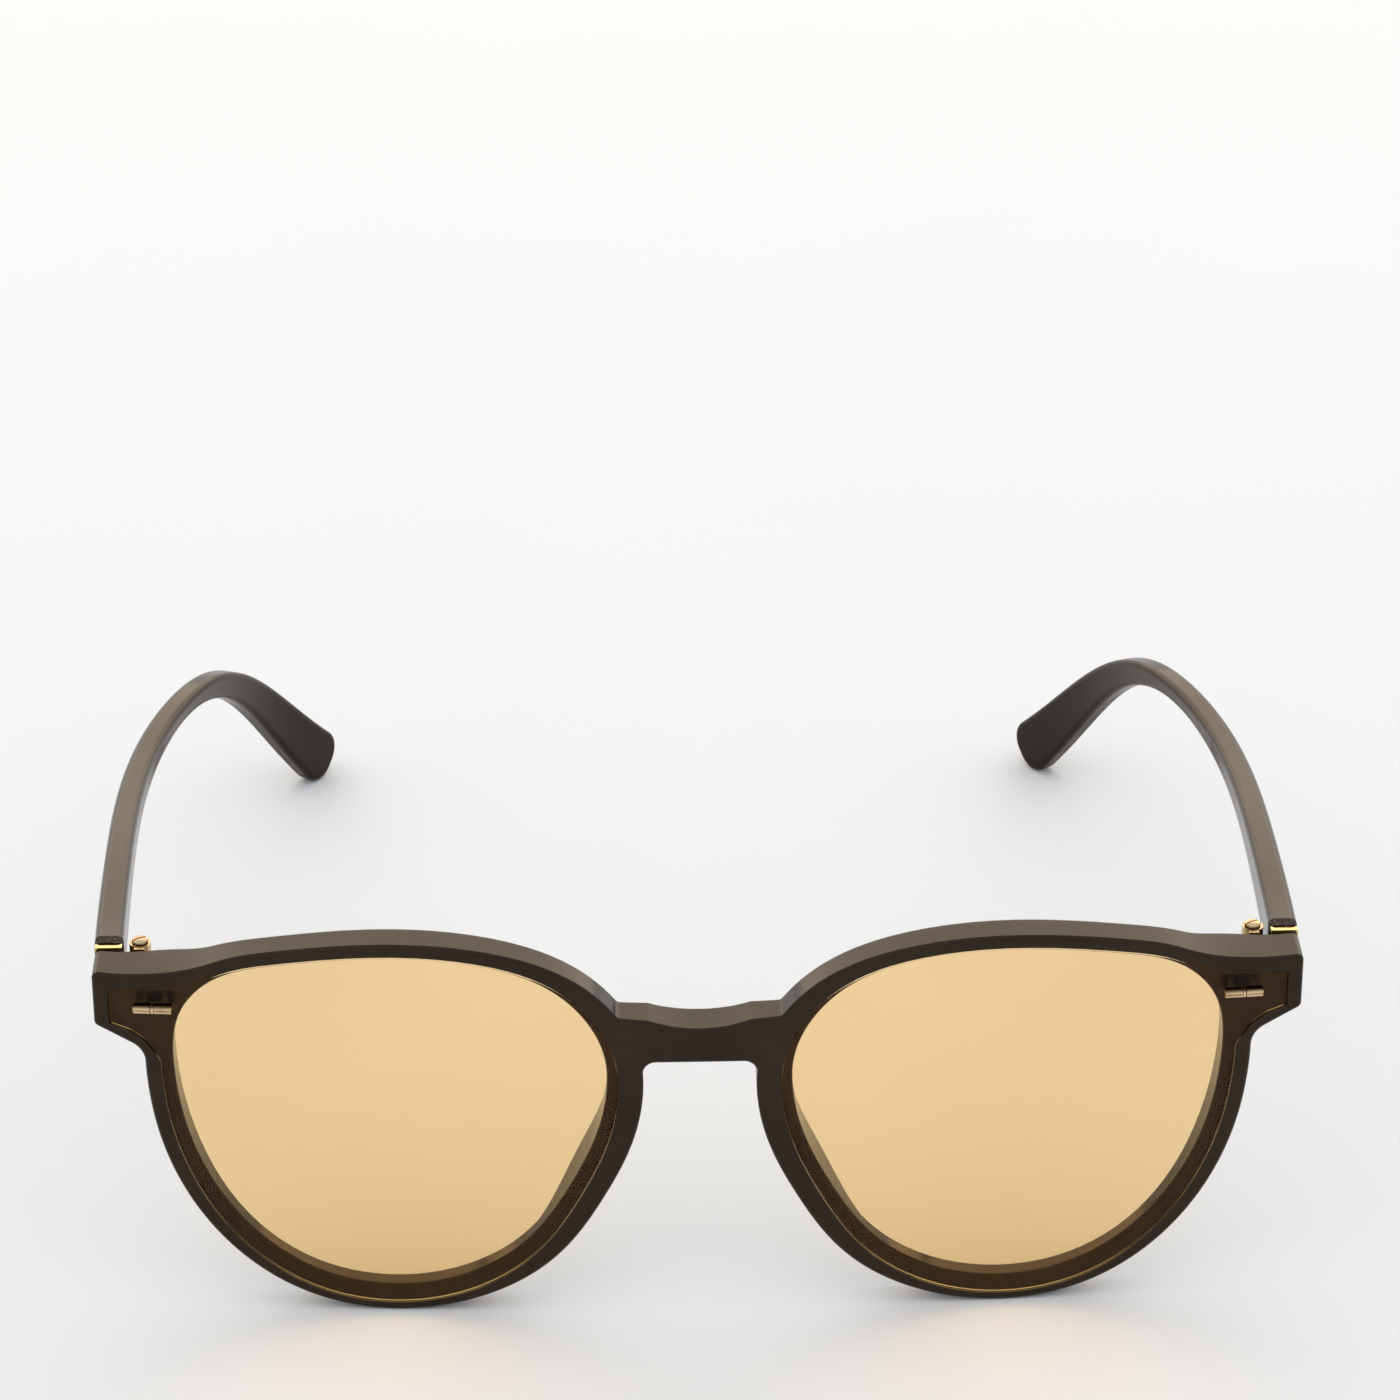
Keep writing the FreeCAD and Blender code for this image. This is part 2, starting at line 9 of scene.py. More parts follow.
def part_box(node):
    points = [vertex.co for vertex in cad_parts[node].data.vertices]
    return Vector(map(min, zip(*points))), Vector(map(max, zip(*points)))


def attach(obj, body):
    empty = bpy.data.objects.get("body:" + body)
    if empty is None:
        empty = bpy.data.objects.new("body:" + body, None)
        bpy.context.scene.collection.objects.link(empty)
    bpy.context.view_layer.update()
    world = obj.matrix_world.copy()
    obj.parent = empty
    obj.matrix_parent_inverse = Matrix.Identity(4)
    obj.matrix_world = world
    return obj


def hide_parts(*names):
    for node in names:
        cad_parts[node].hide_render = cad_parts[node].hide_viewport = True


bl_info = {
    "name": "Sunglasses finisher",
    "version": (1, 0, 0),
    "blender": (4, 5, 0),
    "location": "View3D > Sidebar > Sunglasses",
    "description": "Gives the packed sunglasses their plastics, tinted lenses, metal trim and stage",
    "category": "Object",
}

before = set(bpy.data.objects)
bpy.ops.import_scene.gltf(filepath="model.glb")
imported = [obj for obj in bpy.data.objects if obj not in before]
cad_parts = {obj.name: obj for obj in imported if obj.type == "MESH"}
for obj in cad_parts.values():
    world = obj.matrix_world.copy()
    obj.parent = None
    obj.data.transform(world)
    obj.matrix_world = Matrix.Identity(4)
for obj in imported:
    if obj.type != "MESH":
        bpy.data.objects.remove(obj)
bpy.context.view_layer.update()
MM = 0.001
SIDES = {"left": -1, "right": 1}


# ---- shader expressions -----------------------------------------------------------------
class Wire:
    """A socket that can be added to, taken away from and scaled in plain Python expressions."""

    def __init__(self, board, socket):
        self.board = board
        self.socket = socket

    def _math(self, operation, first, second):
        return self.board.node("ShaderNodeMath", {"operation": operation}, {0: first, 1: second})

    def __add__(self, other):
        return self._math("ADD", self, other)

    __radd__ = __add__

    def __mul__(self, other):
        return self._math("MULTIPLY", self, other)

    __rmul__ = __mul__

    def __sub__(self, other):
        return self._math("SUBTRACT", self, other)

    def __rsub__(self, other):
        return self._math("SUBTRACT", other, self)


class Board:
    """The node tree of one material, with its Principled shader."""

    def __init__(self, name, **fixed):
        self.material = bpy.data.materials.new(name)
        self.material.use_nodes = True
        self.tree = self.material.node_tree
        self.shader = self.tree.nodes["Principled BSDF"]
        for socket, value in fixed.items():
            self.shader.inputs[socket.replace("_", " ")].default_value = value

    def node(self, kind, settings=None, values=None, output=0):
        """Adds one node: its settings first, then the values or links of its sockets."""
        made = self.tree.nodes.new(kind)
        for key, value in (settings or {}).items():
            if key == "stops":
                self._ramp(made.color_ramp, value)
            else:
                setattr(made, key, value)
        for socket, value in (values or {}).items():
            self.plug(value, made.inputs[socket])
        return Wire(self, made.outputs[output])

    def _ramp(self, ramp, stops):
        while len(ramp.elements) < len(stops):
            ramp.elements.new(0.5)
        for element, (place, colour) in zip(ramp.elements, stops):
            element.position = place
            element.color = rgba(colour)

    def plug(self, value, socket):
        if isinstance(value, Wire):
            self.tree.links.new(value.socket, socket)
        else:
            socket.default_value = value

    def feed(self, **wires):
        for name, value in wires.items():
            self.plug(value, self.shader.inputs[name.replace("_", " ")])
        return self.material

    # -- the few patterns that the finishes share
    def place(self, stretch):
        """Object coordinates, with each axis scaled."""
        where = self.node("ShaderNodeTexCoord", output="Object")
        return self.node("ShaderNodeVectorMath", {"operation": "MULTIPLY"}, {0: where, 1: stretch})

    def noise(self, scale, detail=3.0, rough=0.5, stretch=(1, 1, 1)):
        """Noise whose scale counts its features in a metre."""
        values = {"Vector": self.place(stretch), "Scale": scale, "Detail": detail, "Roughness": rough}
        return self.node("ShaderNodeTexNoise", {"noise_dimensions": "3D"}, values)

    def ramp(self, value, *stops):
        return self.node("ShaderNodeValToRGB", {"stops": stops}, {"Fac": value})

    def spread(self, value, low, high):
        """A 0 to 1 value laid out from low to high."""
        return value * (high - low) + low

    def mix(self, share, first, second):
        """Two colours: the first where the share is 0, the second where it is 1."""
        return self.node("ShaderNodeMix", {"data_type": "RGBA"}, {0: share, 6: first, 7: second}, output=2)

    def part(self, axis):
        """One component of the object coordinates, in metres."""
        where = self.node("ShaderNodeTexCoord", output="Object")
        return self.node("ShaderNodeSeparateXYZ", values={0: where}, output="XYZ".index(axis))

    def between(self, value, low, high):
        """0 below low, 1 above high, smooth in between."""
        return self.node("ShaderNodeMapRange", {"interpolation_type": "SMOOTHSTEP"},
                         {"Value": value, "From Min": low, "From Max": high, "To Min": 0.0, "To Max": 1.0})

    def bump(self, height, strength, distance, normal=None):
        """A bumped normal, laid over another one where it is given."""
        values = {"Height": height, "Strength": strength, "Distance": distance}
        if normal is not None:
            values["Normal"] = normal
        return self.node("ShaderNodeBump", {}, values)


def rgba(colour):
    """A colour with full opacity."""
    return (*colour, 1.0)


def shade(colour, factor):
    """A colour made darker or lighter."""
    return tuple(min(1.0, channel * factor) for channel in colour)


# ---- sizes and colours a user may change ---------------------------------------------------
def colour_prop(name, description, default):
    return bpy.props.FloatVectorProperty(name=name, description=description, default=default,
                                         subtype="COLOR", size=3, min=0.0, max=1.0)


def length_prop(name, description, millimetres):
    return bpy.props.FloatProperty(name=name, description=description, default=millimetres * MM,
                                   min=0.0, subtype="DISTANCE", unit="LENGTH", precision=5)


class SunglassesFinish(bpy.types.PropertyGroup):
    frame_colour: colour_prop("Front plastic", "Colour of the polished front", (0.0125, 0.0082, 0.0055))
    temple_colour: colour_prop("Temple plastic", "Colour of the temples", (0.028, 0.0150, 0.0065))
    tip_colour: colour_prop("Tip plastic", "Colour of the satin temple tips", (0.017, 0.0105, 0.0065))
    lens_colour: colour_prop("Lens tint", "What the lenses let through", (0.97, 0.71, 0.385))
    gold_colour: colour_prop("Gold", "Colour of the hinge leaves", (0.90, 0.66, 0.30))
    pale_colour: colour_prop("Pale metal", "Colour of the rivets, screws and barrels", (0.66, 0.51, 0.32))
    scuff_size: length_prop("Scuff size", "Spacing of the fine scuffs in the polish", 0.35)


class SunglassesRivet(bpy.types.PropertyGroup):
    bar_radius: length_prop("Bar radius", "Half the height of each bar", 0.62)
    bar_gap: length_prop("Collar width", "Space between the bars that the collar fills", 0.5)
    groove: length_prop("Groove", "Width of the groove along each bar", 0.16)
    soften: length_prop("Edge", "Rounding of the bars' ends", 0.14)


class SunglassesScrew(bpy.types.PropertyGroup):
    head_radius: length_prop("Head radius", "Radius of the screw head", 1.0)
    head_rise: length_prop("Head rise", "Height of the dome", 0.6)
    slot: length_prop("Slot width", "Width of the driver slot", 0.28)


class SunglassesStage(bpy.types.PropertyGroup):
    lens_mm: bpy.props.FloatProperty(name="Focal length", description="Of the camera, for a 36 mm sensor",
                                     default=135.8, min=10.0)
    tilt: bpy.props.FloatProperty(name="Tilt", description="How far the camera looks down",
                                  default=math.radians(27.5), subtype="ANGLE", unit="ROTATION")
    turn: bpy.props.FloatProperty(name="Turn", description="How far the camera looks to the right",
                                  default=math.radians(1.374), subtype="ANGLE", unit="ROTATION")
    roll: bpy.props.FloatProperty(name="Roll", description="How far the camera leans",
                                  default=math.radians(0.176), subtype="ANGLE", unit="ROTATION")
    floor_colour: colour_prop("Floor", "Colour of the plain floor", (0.885, 0.915, 0.955))


CAMERA_STAND = Vector((-12.87, -541.81, 366.6)) * MM     # from the front's face, on the floor
FLOOR_REACH = 6.0
FLOOR_DROP = 0.02 * MM                    # below the rims and the tips that stand on it
ROOM_STRENGTH = 0.86
# name, place, width, height, power and colour of the soft panels
PANELS = [("back_panel", (0.0, 1.40, 0.72), 2.4, 1.3, 12.0, (1.0, 0.78, 0.50)),
          ("top_panel", (-0.3, -0.5, 1.5), 1.4, 1.4, 1.0, (1.0, 1.0, 1.0))]

AMBER_GLOSS = (1.0, 0.78, 0.56, 1.0)      # the plastic's gloss is warm, like its own colour
FRONT_INDEX = 1.46                        # refractive indices
TEMPLE_INDEX = 1.20                       # low, as the temples shine less than the front
LENS_INDEX = 1.20                         # low, as on a coated lens
CHAMFER_BELOW = (0.0, -0.707, -0.707)     # the way a lens's chamfer faces at its lowest point
PAINTED_GLINT_STRENGTH = 2.5                           # strength of the painted glint that glows along the lens's lower chamfer
PAINTED_GLINT_COLOUR = (0.62, 0.40, 0.15)           # and its colour
PAINTED_DARK_REFLECTION = (0.006, 0.004, 0.003)         # painted dark reflection on the sawn end of a temple, and the painted glint specks in it
PAINTED_GLINT_SPECK = (0.30, 0.21, 0.13)
# length and blur of the sawn end, which also carries the painted dark reflection
SAWN_AND_PAINTED_LENGTH = 2.3 * MM
SAWN_AND_PAINTED_BLUR = 0.3 * MM
SATIN_BEGINS = 0.70                       # where a temple turns satin, as shares of its length
SATIN_ENDS = 0.93
WIRE_COLOUR = (0.62, 0.61, 0.58)


# ---- materials --------------------------------------------------------------------------------
def polished_plastic(name, colour, scuff):
    """Tumbled and buffed plastic: faint cloudiness, fine scuffs and a soft ripple in the gloss."""
    board = Board(name, IOR=FRONT_INDEX, Specular_IOR_Level=0.30, Specular_Tint=AMBER_GLOSS,
                  Coat_Roughness=0.04)
    cloud = board.noise(scale=90.0, detail=4.0, rough=0.55)
    tone = board.ramp(cloud, (0.30, shade(colour, 0.72)), (0.52, colour), (0.75, shade(colour, 1.35)))
    scuffs = board.noise(scale=1.0 / scuff, detail=5.0, rough=0.65, stretch=(1, 0.35, 1))
    wear = board.between(scuffs, 0.55, 0.72)
    ripple = board.bump(board.noise(scale=160.0, detail=2.0), strength=0.06, distance=0.4 * MM)
    grain = board.bump(scuffs, strength=0.03, distance=0.05 * MM, normal=ripple)
    lacquer = board.spread(board.noise(scale=40.0, detail=2.0), 0.0, 0.10)
    return board.feed(Base_Color=tone, Roughness=board.spread(cloud, 0.10, 0.20) + wear * 0.06,
                      Coat_Weight=lacquer, Normal=grain)


def temple_plastic(name, finish, front, end):
    """The front's plastic at the hinge, turning to satin towards the tip, with a sawn front end coloured by a
    painted dark reflection and painted glint specks.
    """
    board = Board(name, IOR=TEMPLE_INDEX, Specular_IOR_Level=0.5, Specular_Tint=AMBER_GLOSS,
                  Coat_Roughness=0.06)
    along = board.part("Y")
    length = end - front
    satin = board.between(along, front + length * SATIN_BEGINS, front + length * SATIN_ENDS)
    # the sawn front end: rough and toothed, and coloured with a painted dark reflection
    sawn_and_painted_dark = 1.0 - board.between(along, front + SAWN_AND_PAINTED_LENGTH, front + SAWN_AND_PAINTED_LENGTH + SAWN_AND_PAINTED_BLUR)
    cloud = board.noise(scale=80.0, detail=4.0, rough=0.55, stretch=(1, 0.5, 1))
    streak = board.noise(scale=420.0, detail=3.0, rough=0.6, stretch=(1, 0.12, 1))
    polished = board.ramp(cloud, (0.30, shade(finish.temple_colour, 0.75)),
                          (0.70, shade(finish.temple_colour, 1.3)))
    tip = board.ramp(cloud, (0.30, shade(finish.tip_colour, 0.85)), (0.70, shade(finish.tip_colour, 1.2)))
    # painted glint specks in the painted dark reflection of the sawn end
    painted_glint_mask = board.between(board.noise(scale=2600.0, detail=4.0, rough=0.7), 0.58, 0.66)
    painted_reflection_tone = board.mix(painted_glint_mask, rgba(PAINTED_DARK_REFLECTION), rgba(PAINTED_GLINT_SPECK))
    tone = board.mix(sawn_and_painted_dark, board.mix(satin, polished, tip), painted_reflection_tone)
    rough = board.spread(cloud, 0.13, 0.22) + satin * 0.14 + board.between(streak, 0.55, 0.75) * 0.05
    ripple = board.bump(board.noise(scale=140.0, detail=2.0), strength=0.06, distance=0.4 * MM)
    fine = board.bump(streak, strength=0.04, distance=0.05 * MM, normal=ripple)
    teeth = board.noise(scale=1500.0, detail=4.0, rough=0.7)
    saw = board.bump(teeth * sawn_and_painted_dark, strength=0.6, distance=0.3 * MM, normal=fine)
    return board.feed(Base_Color=tone, Roughness=rough + sawn_and_painted_dark * 0.65,
                      Coat_Weight=0.08 - satin * 0.08, Normal=saw)


def tinted_lens(finish):
    """Hard-coated plastic sheet, tinted through, with a trace of unevenness in the dye and a painted glint
    glowing along its lower chamfer.
    """
    board = Board("tinted_lens", Transmission_Weight=1.0, IOR=LENS_INDEX, Emission_Strength=PAINTED_GLINT_STRENGTH)
    dye = board.noise(scale=38.0, detail=4.0, rough=0.6)
    tone = board.ramp(dye, (0.32, shade(finish.lens_colour, 0.985)), (0.68, shade(finish.lens_colour, 1.012)))
    smear = board.between(board.noise(scale=55.0, detail=3.0, rough=0.6, stretch=(1, 1, 0.5)), 0.55, 0.8)
    wave = board.bump(board.noise(scale=30.0, detail=1.0), strength=0.02, distance=0.2 * MM)
    # painted glint: emission where the chamfer faces down and forward, uneven along the edge
    normal = board.node("ShaderNodeNewGeometry", output="Normal")
    facing = board.node("ShaderNodeVectorMath", {"operation": "DOT_PRODUCT"}, {0: normal, 1: CHAMFER_BELOW},
                        output="Value")
    uneven = board.spread(board.noise(scale=120.0, detail=2.0), 0.5, 1.1)
    painted_glint = board.mix(board.between(facing, 0.82, 0.98) * uneven, rgba((0.0, 0.0, 0.0)), rgba(PAINTED_GLINT_COLOUR))
    return board.feed(Base_Color=tone, Roughness=smear * 0.012, Emission_Color=painted_glint, Normal=wave)


def metal(name, colour, roughness, grain=900.0, stretch=(1, 1, 1), painted_shade_band=None):
    """Plated and brushed metal with a tarnish in its pits, and painted shade darkening it outside a level
    band where one is given.
    """
    board = Board(name, IOR=1.5)
    dull = tuple(channel * channel for channel in colour)
    brush = board.noise(grain, detail=4.0, rough=0.6, stretch=stretch)
    tarnish = board.between(board.noise(scale=260.0, detail=3.0, rough=0.6), 0.48, 0.75)
    tone = board.mix(tarnish * 0.55, rgba(colour), rgba(shade(dull, 0.75)))
    if painted_shade_band:
        middle, half = painted_shade_band
        # painted shade: darker the further the height is from the band's middle
        off = board.part("Z") - middle
        painted_edge_shade = board.between(off * off, (half * 0.30) ** 2, (half * 0.85) ** 2)
        tone = board.mix(painted_edge_shade, tone, rgba(shade(dull, 0.18)))
    low, high = roughness
    dents = board.bump(brush, strength=0.12, distance=0.04 * MM)
    return board.feed(Base_Color=tone, Metallic=1.0 - tarnish * 0.06,
                      Roughness=board.spread(brush, low, high) + tarnish * 0.12, Normal=dents)


def dress(node, material):
    """Gives a CAD node one material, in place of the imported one."""
    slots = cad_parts[node].data.materials
    slots.clear()
    slots.append(material)


# ---- mesh making -------------------------------------------------------------------------------
def to_object(mesh_maker, name, material, body, replaced):
    """Object from a bmesh, riding on its body and standing for the CAD node it refines."""
    mesh = bpy.data.meshes.new(name)
    bmesh.ops.recalc_face_normals(mesh_maker, faces=mesh_maker.faces)
    mesh_maker.to_mesh(mesh)
    mesh_maker.free()
    mesh.materials.append(material)
    smooth(mesh, 40)
    piece = bpy.data.objects.new(name, mesh)
    bpy.context.scene.collection.objects.link(piece)
    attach(piece, body)
    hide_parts(replaced)
    return piece


def smooth(mesh, degrees):
    """Smooth shading, with the edges sharper than an angle left crisp."""
    mesh.shade_smooth()
    mesh.set_sharp_from_angle(angle=math.radians(degrees))


def lathe(mesh, profile, matrix, segments=48, flutes=0, flute=0.0, fluted=(0.0, 0.0)):
    """Closed turned solid from (radius, height) points, bottom to top, fluted between two heights."""
    rings = []
    for radius, height in profile:
        if radius < 1e-9:
            rings.append([mesh.verts.new(matrix @ Vector((0, 0, height)))])
            continue
        depth = flute if flutes and fluted[0] < height < fluted[1] else 0.0
        ring = []
        for i in range(segments):
            angle = 2 * math.pi * i / segments
            reach = radius - depth * (1 - math.cos(flutes * angle)) / 2
            spot = Vector((reach * math.cos(angle), reach * math.sin(angle), height))
            ring.append(mesh.verts.new(matrix @ spot))
        rings.append(ring)
    for lower, upper in zip(rings, rings[1:]):
        for i in range(segments):
            j = (i + 1) % segments
            corners = [ring[k % len(ring)] for ring, k in ((lower, i), (lower, j), (upper, j), (upper, i))]
            unique = list(dict.fromkeys(corners))
            if len(unique) > 2:
                mesh.faces.new(unique)


def arc(radius, centre, begin, end, steps):
    """Points of an arc, as (radius, height) pairs, from begin to end in degrees."""
    for i in range(steps + 1):
        angle = math.radians(begin + (end - begin) * i / steps)
        yield centre[0] + radius * math.cos(angle), centre[1] + radius * math.sin(angle)


# ---- fixed sizes of the turned and formed metal ----------------------------------------------------
SHANK_RADIUS = 0.62 * MM
SHANK_POINT = 0.8                         # radius of the shank's end, as a share
THREAD_TURNS = 12
THREAD_STEPS = 4                          # rings in one turn
THREAD_RUNOUT = 0.1 * MM                  # plain shank at each end
THREAD_DEPTH = 0.05 * MM
HEAD_EDGE = 0.16 * MM                     # rounding of the head's rim
HEAD_UNDERCUT = 0.04 * MM
DOME_WIDTH = 0.97                         # the dome's foot, as a share of the head
FLUTE_DEPTH = 0.12 * MM
FLUTE_COUNT = 15
FLUTES_BEGIN = 0.02 * MM                  # above the base of the head
FLUTES_END = 0.42 * MM
SLOT_DEPTH = 0.26 * MM
SLOT_TURN = math.radians(28)
BAR_CROWN = 0.55 * MM                     # how far a bar's edges fall behind its middle
BAR_FLATNESS = 0.7                        # the lower, the flatter the middle
BAR_STEPS = 24                            # facets across a bar
BAR_ROOT = 1.2 * MM                       # depth to which a bar goes into the lens
BAR_EDGE = 0.98                           # height of the bar's sides, as a share
GROOVE_DEPTH = 0.16 * MM
BAR_SETBACK = 0.02 * MM
BAR_END = ((1.0, 1.0), (0.3, 0.93), (0.0, 0.80))     # share of the rounding left, share of the section
END_DROP = 0.5 * MM                       # how far a bar's end face would fall if it shrank to nothing
COLLAR_GAP = 0.07 * MM                    # dark slit on each side of the collar
COLLAR_RADIUS = 0.74 * MM
COLLAR_EDGE = 0.08 * MM
COLLAR_DEPTH = 0.62 * MM                  # its centre behind the front of the rivet
COLLAR_SQUEEZE = 0.82
FACE_RADIUS = 0.8                         # metres, of the curved front that the rivets lie on


# ---- operators, one for each piece or group of like pieces ------------------------------------------
class SUNGLASSES_OT_front(bpy.types.Operator):
    """Polish the front, its nose pads and its endpieces"""
    bl_idname = "sunglasses.front"
    bl_label = "Front"

    def execute(self, context):
        finish = context.scene.sunglasses_finish
        dress("front_frame", polished_plastic("front_plastic", tuple(finish.frame_colour), finish.scuff_size))
        return {"FINISHED"}


class SUNGLASSES_OT_lenses(bpy.types.Operator):
    """Tint the two lenses"""
    bl_idname = "sunglasses.lenses"
    bl_label = "Lenses"

    def execute(self, context):
        glass = tinted_lens(context.scene.sunglasses_finish)
        for side in SIDES:
            dress(f"lens_{side}", glass)
            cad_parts[f"lens_{side}"].visible_shadow = False
        return {"FINISHED"}


class SUNGLASSES_OT_hinges(bpy.types.Operator):
    """Plate the hinge leaves and their barrels"""
    bl_idname = "sunglasses.hinges"
    bl_label = "Hinges"

    def execute(self, context):
        finish = context.scene.sunglasses_finish
        gold = metal("gold_plate", tuple(finish.gold_colour), (0.12, 0.26))
        pale = metal("pale_plate", tuple(finish.pale_colour), (0.16, 0.30))
        for side in SIDES:
            dress(f"hinge_front_{side}", pale)
            dress(f"hinge_temple_{side}", gold)
        return {"FINISHED"}


class SUNGLASSES_OT_screws(bpy.types.Operator):
    """Turn the hinge screws: domed slotted heads on a washer face, with a threaded shank"""
    bl_idname = "sunglasses.screws"
    bl_label = "Hinge screws"

    def execute(self, context):
        finish, size = context.scene.sunglasses_finish, context.scene.sunglasses_screw
        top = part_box("hinge_screw_right")[1].z
        # painted shade: the head darkens below its top
        steel = metal("screw_metal", tuple(finish.pale_colour), (0.14, 0.24), grain=1400.0,
                      painted_shade_band=(top, size.head_rise * 1.1))
        for side in SIDES:
            low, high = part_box(f"hinge_screw_{side}")
            middle = (low + high) / 2
            base = high.z - size.head_rise
            mesh = bmesh.new()
            lathe(mesh, screw_profile(low.z, high.z, size), Matrix.Translation((middle.x, middle.y, 0)),
                  segments=8 * FLUTE_COUNT, flutes=FLUTE_COUNT, flute=FLUTE_DEPTH,
                  fluted=(base + FLUTES_BEGIN, base + FLUTES_END))
            piece = to_object(mesh, f"screw_{side}", steel, "front", f"hinge_screw_{side}")
            cut_slot(piece, middle, high.z, size.slot, size.head_radius)
        return {"FINISHED"}


def screw_profile(low, high, size):
    """Outline of a screw as (radius, height): the threaded shank, the head's edge and its dome."""
    base = high - size.head_rise
    steps = THREAD_TURNS * THREAD_STEPS
    profile = [(0.0, low), (SHANK_RADIUS * SHANK_POINT, low)]
    for i in range(steps):
        height = low + THREAD_RUNOUT + (base - low - 2 * THREAD_RUNOUT) * i / steps
        wave = (1 + math.cos(2 * math.pi * i / THREAD_STEPS)) / 2
        profile.append((SHANK_RADIUS - THREAD_DEPTH * wave, height))
    profile += [(SHANK_RADIUS, base), (size.head_radius - HEAD_UNDERCUT, base)]
    profile += list(arc(HEAD_EDGE, (size.head_radius - HEAD_EDGE, base + HEAD_EDGE), -60, 20, 5))
    foot = base + 2 * HEAD_EDGE
    dome = size.head_rise - 2 * HEAD_EDGE
    for k in range(10):
        angle = math.radians(10 + 8 * k)
        profile.append((size.head_radius * math.cos(angle) * DOME_WIDTH, foot + dome * math.sin(angle)))
    return profile + [(0.0, high)]


def cut_slot(piece, middle, top, width, reach):
    """Cuts the driver slot across a screw head."""
    cutter_mesh = bmesh.new()
    bmesh.ops.create_cube(cutter_mesh, size=1.0, matrix=Matrix.Translation((middle.x, middle.y, top))
                          @ Matrix.Rotation(SLOT_TURN, 4, "Z")
                          @ Matrix.Diagonal((3 * reach, width, 2 * SLOT_DEPTH, 1)))
    data = bpy.data.meshes.new("slot_cutter")
    cutter_mesh.to_mesh(data)
    cutter_mesh.free()
    cutter = bpy.data.objects.new("slot_cutter", data)
    bpy.context.scene.collection.objects.link(cutter)
    cut = piece.modifiers.new("slot", "BOOLEAN")
    cut.operation, cut.object, cut.solver = "DIFFERENCE", cutter, "EXACT"
    bake_modifiers(piece)
    bpy.data.objects.remove(cutter)


def bake_modifiers(piece):
    """Applies a piece's modifiers to its mesh."""
    bpy.context.view_layer.update()
    seen = piece.evaluated_get(bpy.context.evaluated_depsgraph_get())
    mesh = bpy.data.meshes.new_from_object(seen)
    piece.modifiers.clear()
    piece.data = mesh
    smooth(mesh, 35)


class SUNGLASSES_OT_rivets(bpy.types.Operator):
    """Form the bar rivets: two grooved half-round bars with a collar between them"""
    bl_idname = "sunglasses.rivets"
    bl_label = "Bar rivets"

    def execute(self, context):
        finish, size = context.scene.sunglasses_finish, context.scene.sunglasses_rivet
        low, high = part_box("trim_right")
        # painted shade: each bar darkens towards its upper and lower edges
        shine = metal("rivet_metal", tuple(finish.pale_colour), (0.12, 0.22), grain=1600.0,
                      painted_shade_band=((low.z + high.z) / 2, size.bar_radius))
        for side, sign in SIDES.items():
            low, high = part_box(f"trim_{side}")
            across = high.x - low.x
            lean = sign * math.asin(abs(low.x + high.x) / 2 / FACE_RADIUS)
            front = Matrix.Translation(((low.x + high.x) / 2, low.y, (low.z + high.z) / 2))
            place = front @ Matrix.Rotation(lean, 4, "Z")
            mesh = bmesh.new()
            for way in (-1, 1):
                rivet_bar(mesh, place, way * size.bar_gap / 2, way * across / 2, size)
            rivet_collar(mesh, place, size)
            to_object(mesh, f"rivet_{side}", shine, "front", f"trim_{side}")
        return {"FINISHED"}


def rivet_bar(mesh, place, begin, end, size):
    """One bar, from the collar out: a rounded section with a groove along its middle."""
    section = []
    side = size.bar_radius * BAR_EDGE
    for i in range(BAR_STEPS + 1):
        angle = math.pi * i / BAR_STEPS
        across, up = math.sin(angle), math.cos(angle) * size.bar_radius
        depth = BAR_CROWN * (1 - abs(across) ** BAR_FLATNESS)
        if abs(up) < size.groove / 2:
            depth += GROOVE_DEPTH
        section.append((depth, max(-side, min(side, up)) if i in (0, BAR_STEPS) else up))
    section += [(BAR_ROOT, -side), (BAR_ROOT, side)]
    inset = size.soften if end > 0 else -size.soften
    stations = [(begin, 1.0)] + [(end - inset * left, share) for left, share in BAR_END]
    rings = []
    for x, share in stations:
        back = BAR_SETBACK + (1 - share) * END_DROP
        rings.append([mesh.verts.new(place @ Vector((x, back + y, z * share))) for y, z in section])
    for ring, following in zip(rings, rings[1:]):
        for i in range(len(section)):
            j = (i + 1) % len(section)
            mesh.faces.new((ring[i], ring[j], following[j], following[i]))
    mesh.faces.new(rings[0])
    mesh.faces.new(list(reversed(rings[-1])))


def rivet_collar(mesh, place, size):
    """The raised ring between the bars."""
    turned = place @ Matrix.Translation((0, COLLAR_DEPTH, 0)) @ Matrix.Rotation(math.radians(90), 4, "Y")
    half = size.bar_gap / 2 - COLLAR_GAP
    inner = COLLAR_RADIUS - COLLAR_EDGE
    profile = [(0.0, -half), (inner, -half), (COLLAR_RADIUS, -half + COLLAR_EDGE),
               (COLLAR_RADIUS, half - COLLAR_EDGE), (inner, half), (0.0, half)]
    lathe(mesh, profile, turned @ Matrix.Diagonal((1.0, COLLAR_SQUEEZE, 1.0, 1.0)), segments=36)


class SUNGLASSES_OT_temples(bpy.types.Operator):
    """Finish the temples, polished at the hinge and satin at the tips, and the wires inside them"""
    bl_idname = "sunglasses.temples"
    bl_label = "Temples"

    def execute(self, context):
        finish = context.scene.sunglasses_finish
        wire = metal("core_metal", WIRE_COLOUR, (0.25, 0.40), grain=700.0, stretch=(1, 0.1, 1))
        low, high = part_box("temple_right")
        skin = temple_plastic("temple_plastic", finish, low.y, high.y)
        for side in SIDES:
            dress(f"temple_{side}", skin)
            dress(f"temple_core_{side}", wire)
        return {"FINISHED"}


